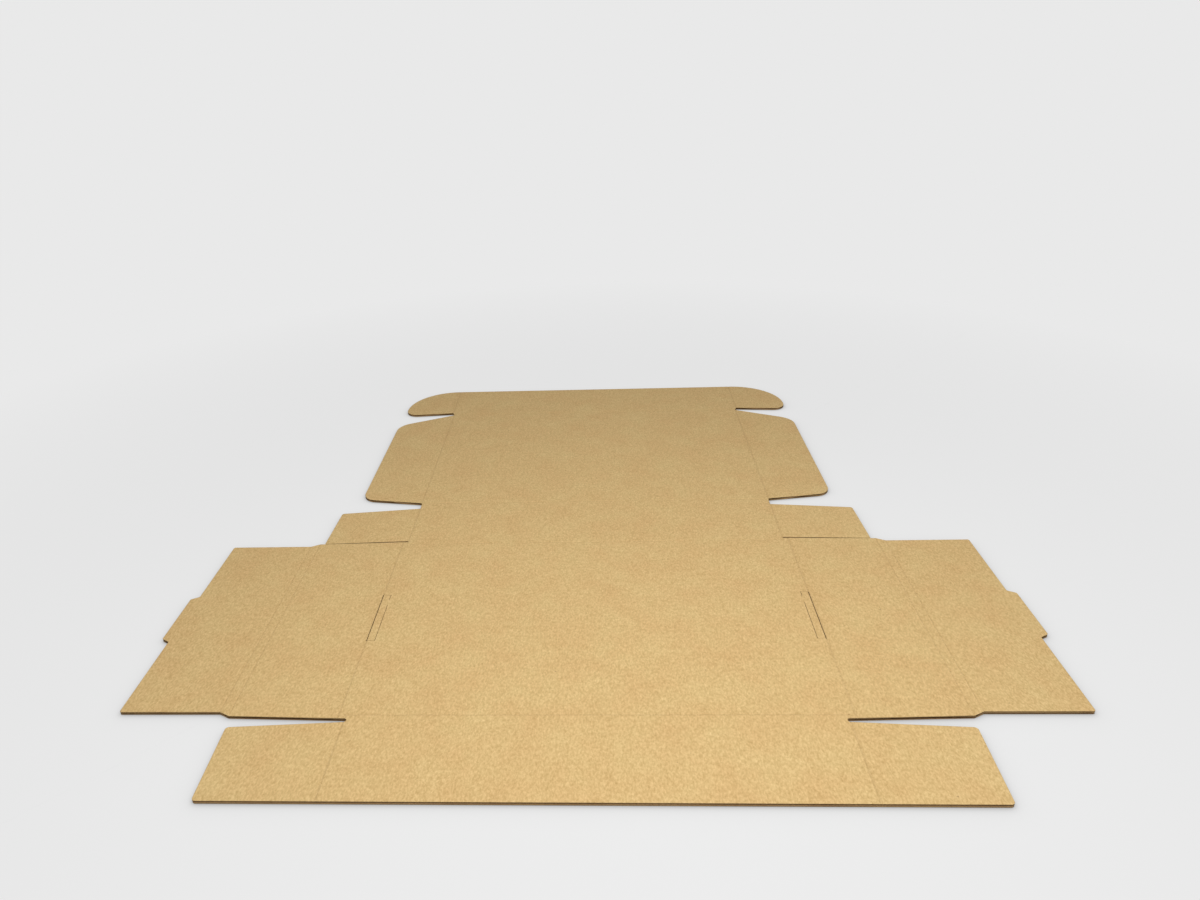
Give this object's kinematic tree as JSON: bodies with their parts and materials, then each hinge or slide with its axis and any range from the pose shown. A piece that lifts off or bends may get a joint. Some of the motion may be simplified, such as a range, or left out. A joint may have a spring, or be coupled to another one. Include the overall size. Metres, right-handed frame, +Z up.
{
  "type": "flattened cardboard box",
  "caption": "Flat die-cut mailer box blank in corrugated cardboard, with double side walls, locking tabs, dust flaps and an eared tuck lid.",
  "frame": {"origin": "middle of the blank's extent, on its underside", "axes": "+X along the flutes, from the left wing to the right wing; +Y from the front panel to the tuck flap; +Z up, out of the inner face"},
  "size_m": [0.676, 0.684, 0.003],
  "materials": {
    "kraft_board": "matte unbleached kraft liner with faint wave lines and fibre specks"
  },
  "bodies": {
    "root": {"box_blank": "kraft_board"}
  },
  "joints": []
}
